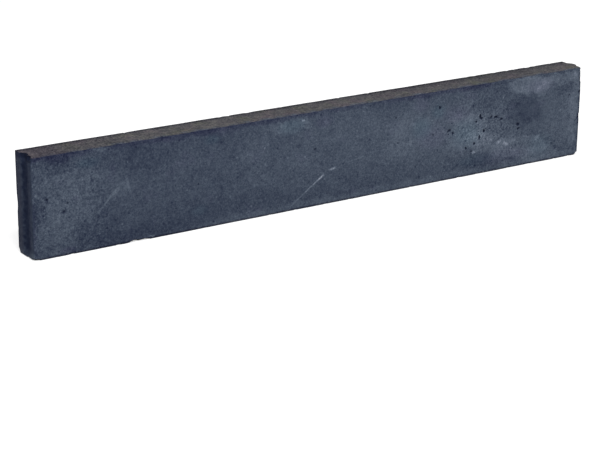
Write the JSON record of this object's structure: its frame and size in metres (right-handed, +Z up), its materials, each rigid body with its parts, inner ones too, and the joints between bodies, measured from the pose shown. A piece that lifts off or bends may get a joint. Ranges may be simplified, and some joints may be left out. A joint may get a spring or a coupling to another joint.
{
  "type": "concrete kerb stone",
  "caption": "Straight concrete edging kerb of plain rectangular section, with a round groove in one end and a matching round tongue on the other, standing on its narrow bed.",
  "frame": {"origin": "middle of the bed face, half way between the two end faces (the tongue reaches past the right-hand end face)", "axes": "+X along the stone from the groove end to the tongue end, +Y from the front face to the back face, +Z up"},
  "size_m": [1.006, 0.05, 0.15],
  "materials": {
    "concrete": "matt, fine-grained, anthracite-grey pressed concrete with pale bloom"
  },
  "bodies": {
    "root": {"kerb_stone": "concrete"}
  },
  "joints": []
}
